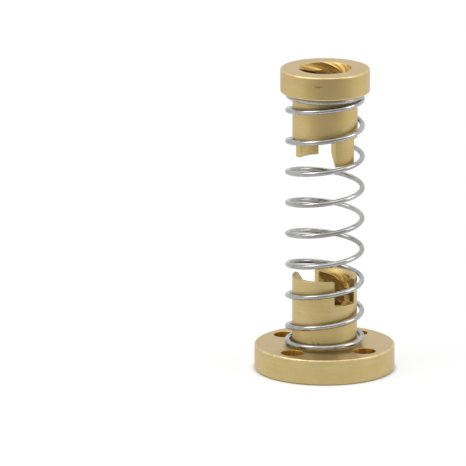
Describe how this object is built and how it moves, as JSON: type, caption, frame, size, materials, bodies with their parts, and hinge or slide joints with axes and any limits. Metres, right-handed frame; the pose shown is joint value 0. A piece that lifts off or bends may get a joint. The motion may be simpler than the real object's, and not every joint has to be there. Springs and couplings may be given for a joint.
{
  "type": "lead screw nut",
  "caption": "Anti-backlash lead screw nut: a round flanged nut and a collared nut with interlocking prongs, pushed apart by a coil spring round their barrels.",
  "frame": {"origin": "centre of the flange's flat mounting face, on the axis of the lead screw", "axes": "+Z along the lead screw from the flange towards the collar; X along the slot and through both prongs"},
  "size_m": [0.022, 0.022, 0.0483],
  "materials": {
    "flanged_nut": "fine-turned satin brass",
    "spring": "bright drawn wire",
    "sprung_nut": "fine-turned satin brass"
  },
  "bodies": {
    "flanged_nut": {"flanged_nut": "flanged_nut", "spring": "spring"},
    "sprung_nut": {"sprung_nut": "sprung_nut"}
  },
  "joints": [
    {"name": "sprung_nut_slide", "type": "slide", "parent": "flanged_nut", "child": "sprung_nut", "axis": [0, 0, -1], "range_m": [0, 0.0223], "stiffness_N_per_m": 330, "springref_m": -0.00019, "deforming": ["spring"]}
  ]
}
